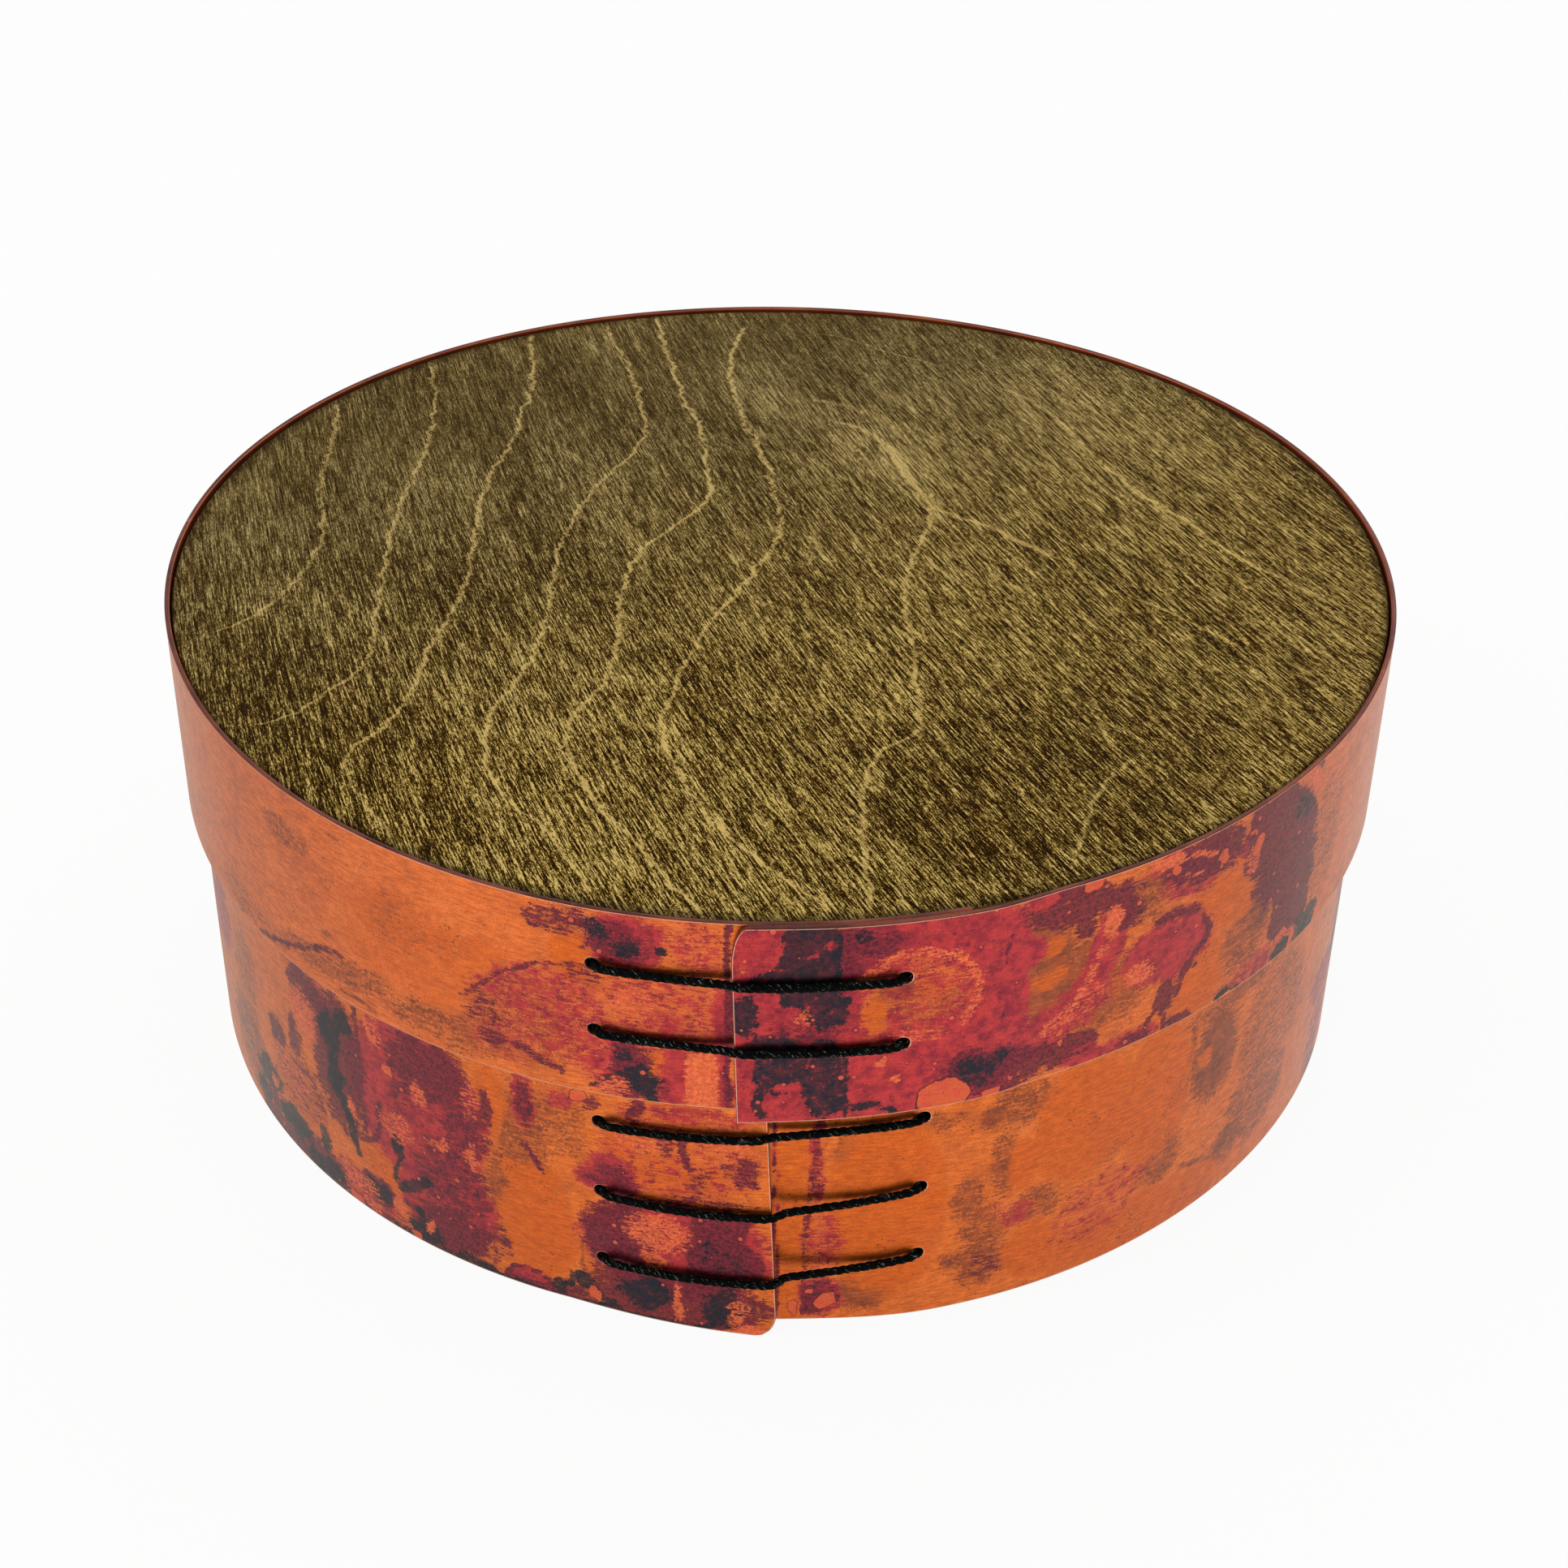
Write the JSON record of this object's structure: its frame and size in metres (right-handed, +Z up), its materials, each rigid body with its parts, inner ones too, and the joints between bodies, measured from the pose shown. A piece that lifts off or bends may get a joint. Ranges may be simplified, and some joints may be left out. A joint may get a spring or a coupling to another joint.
{
  "type": "lidded copper band box",
  "caption": "Slightly oval lidded box of bent, lapped and thread-laced copper sheet with stained plywood panels; the lid lifts straight off.",
  "frame": {"origin": "middle of the underside, on the surface that the box stands on", "axes": "+Z up, the way the lid lifts; +X along the longer way of the slightly oval plan; -Y towards the laced laps at the front"},
  "size_m": [0.165, 0.159, 0.0657],
  "materials": {
    "lid_copper": "satin flame-coloured copper, orange, crimson and blue-black patina",
    "base_copper": "satin flame-coloured copper, orange, maroon and purple patina",
    "stained_plywood": "birch plywood, olive-brown stain, satin",
    "base_plywood": "birch plywood, olive-brown stain, satin",
    "waxed_thread": "black waxed linen thread"
  },
  "bodies": {
    "base": {"base_band": "base_copper", "base_panel": "base_plywood", "base_lacing": "waxed_thread"},
    "lid": {"lid_band": "lid_copper", "lid_panel": "stained_plywood", "lid_lacing": "waxed_thread"}
  },
  "joints": [
    {"name": "lid_lift", "type": "slide", "parent": "base", "child": "lid", "axis": [0, 0, 1], "range_m": [0, 0.04]}
  ]
}
